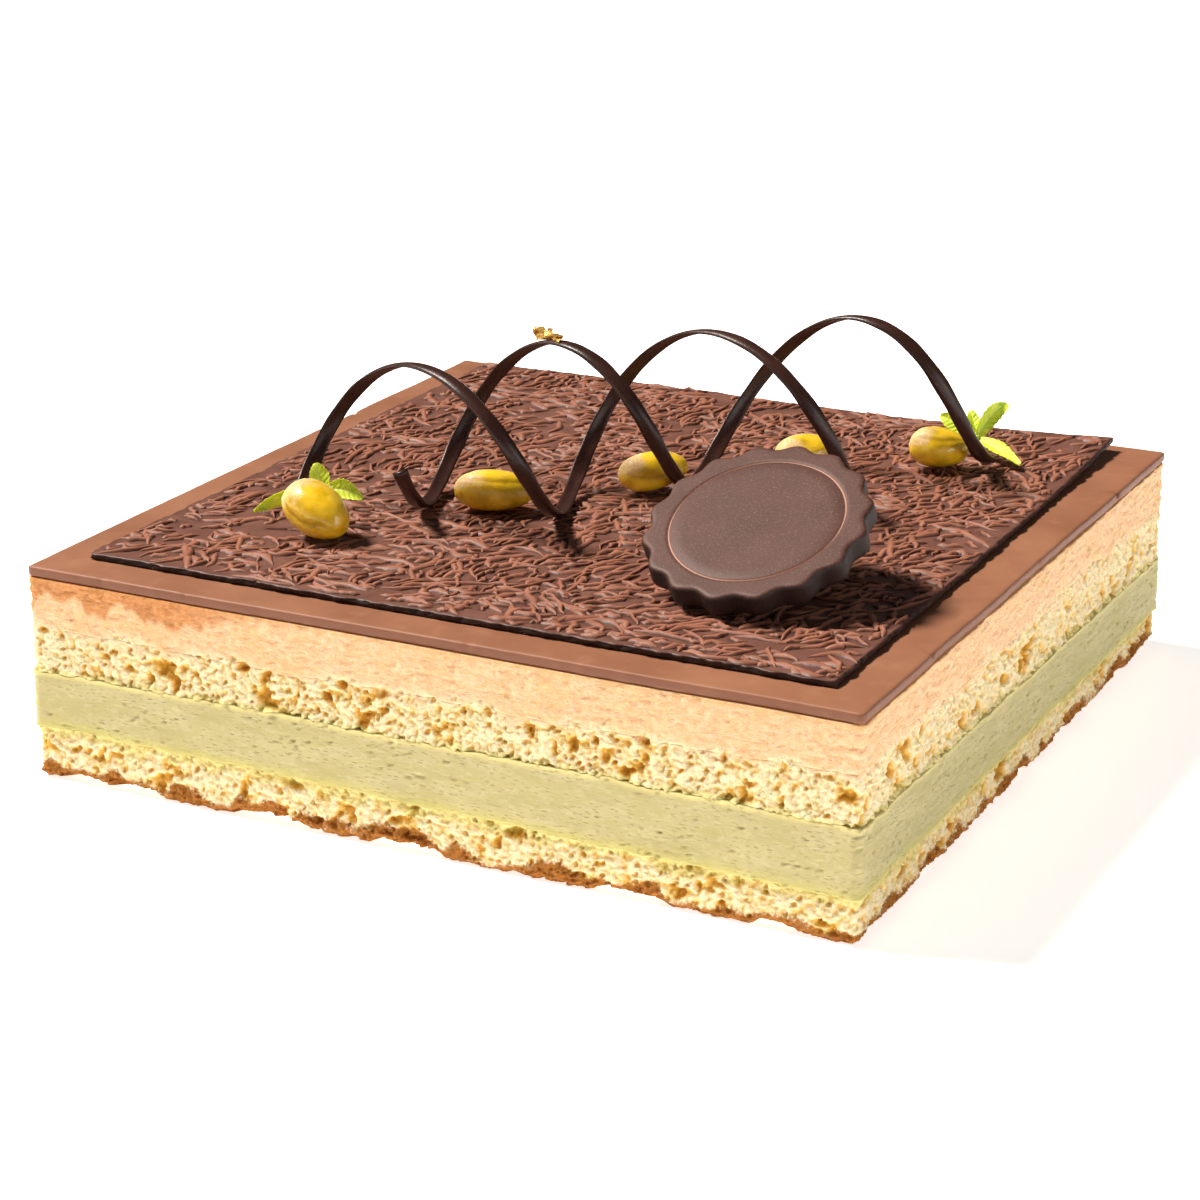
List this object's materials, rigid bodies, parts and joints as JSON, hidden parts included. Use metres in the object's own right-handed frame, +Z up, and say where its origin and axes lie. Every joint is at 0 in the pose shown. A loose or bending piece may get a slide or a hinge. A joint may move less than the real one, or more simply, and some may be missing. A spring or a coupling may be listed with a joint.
{
  "type": "layered square chocolate cake",
  "caption": "Square layered sponge and cream cake under a chocolate plate and a bark-textured sheet, dressed with curls, nuts, mint and a scalloped medallion.",
  "frame": {"origin": "on the floor under the middle of the cake", "axes": "+Z up; +X along the front edge, left to right; +Y from the front face to the back"},
  "size_m": [0.2016, 0.2016, 0.0929],
  "materials": {
    "sponge": "open yellow crumb with a browned foot",
    "pistachio_cream": "smooth pale green set cream with fine pinholes",
    "vanilla_cream": "smooth peach set cream",
    "milk_chocolate": "satin milk chocolate",
    "dark_chocolate": "dark chocolate bark, satin with glossy smooth patches",
    "medallion_chocolate": "satin dark chocolate",
    "curl_chocolate": "glossy tempered dark chocolate",
    "pistachio": "glazed pistachio kernel",
    "mint": "fresh bright green leaf",
    "gold_leaf": "crumpled gold leaf"
  },
  "bodies": {
    "root": {"sponge_base": "sponge", "pistachio_cream": "pistachio_cream", "sponge_upper": "sponge", "vanilla_cream": "vanilla_cream", "milk_chocolate_plate": "milk_chocolate", "dark_chocolate_sheet": "dark_chocolate", "chocolate_medallion": "medallion_chocolate", "chocolate_dab": "dark_chocolate", "chocolate_curl_front": "curl_chocolate", "chocolate_curl_back": "curl_chocolate", "pistachio_1": "pistachio", "pistachio_2": "pistachio", "pistachio_3": "pistachio", "pistachio_4": "pistachio", "pistachio_5": "pistachio", "mint_sprig_left": "mint", "mint_sprig_right": "mint", "gold_leaf_flake": "gold_leaf"}
  },
  "joints": []
}
